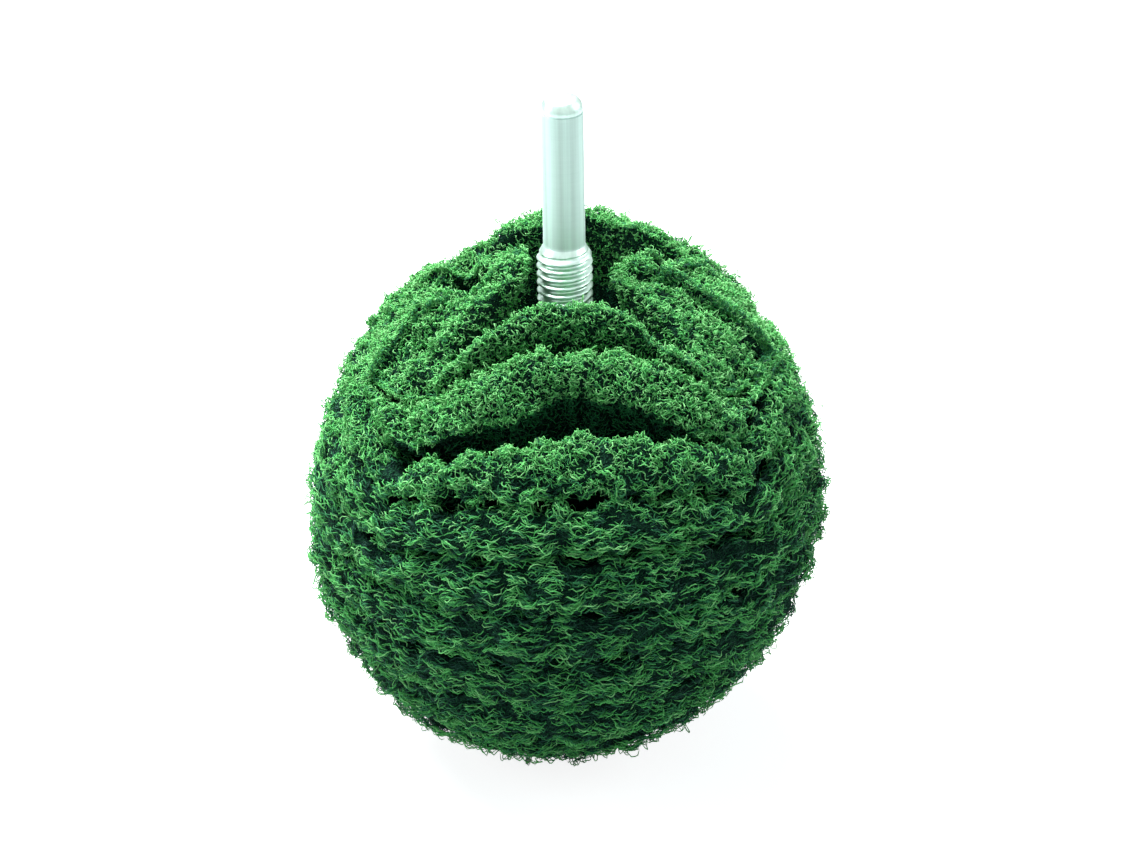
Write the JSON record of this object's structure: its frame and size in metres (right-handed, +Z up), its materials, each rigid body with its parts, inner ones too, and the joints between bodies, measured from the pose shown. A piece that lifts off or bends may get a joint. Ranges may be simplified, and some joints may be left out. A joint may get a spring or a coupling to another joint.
{
  "type": "polishing ball",
  "caption": "Round polishing ball of stacked nonwoven abrasive discs clamped on a threaded steel spindle with a plain drive shank.",
  "frame": {"origin": "on the ground under the spindle's axis, where the flattened bottom of the ball rests", "axes": "+Z up along the spindle towards the shank's end; -Y is the side that faces the camera"},
  "size_m": [0.0742, 0.0742, 0.0994],
  "materials": {
    "nonwoven_abrasive": "open web of crimped green nylon fibre bonded with abrasive grain",
    "spindle_steel": "bright zinc-plated, turned and rolled",
    "fastener_steel": "bright zinc-plated"
  },
  "bodies": {
    "root": {"abrasive_disc_01": "nonwoven_abrasive", "abrasive_disc_02": "nonwoven_abrasive", "abrasive_disc_03": "nonwoven_abrasive", "abrasive_disc_04": "nonwoven_abrasive", "abrasive_disc_05": "nonwoven_abrasive", "abrasive_disc_06": "nonwoven_abrasive", "abrasive_disc_07": "nonwoven_abrasive", "abrasive_disc_08": "nonwoven_abrasive", "abrasive_disc_09": "nonwoven_abrasive", "abrasive_disc_10": "nonwoven_abrasive", "abrasive_disc_11": "nonwoven_abrasive", "spindle": "spindle_steel", "upper_nut": "fastener_steel", "upper_washer": "fastener_steel", "lower_washer": "fastener_steel", "lower_nut": "fastener_steel"}
  },
  "joints": []
}
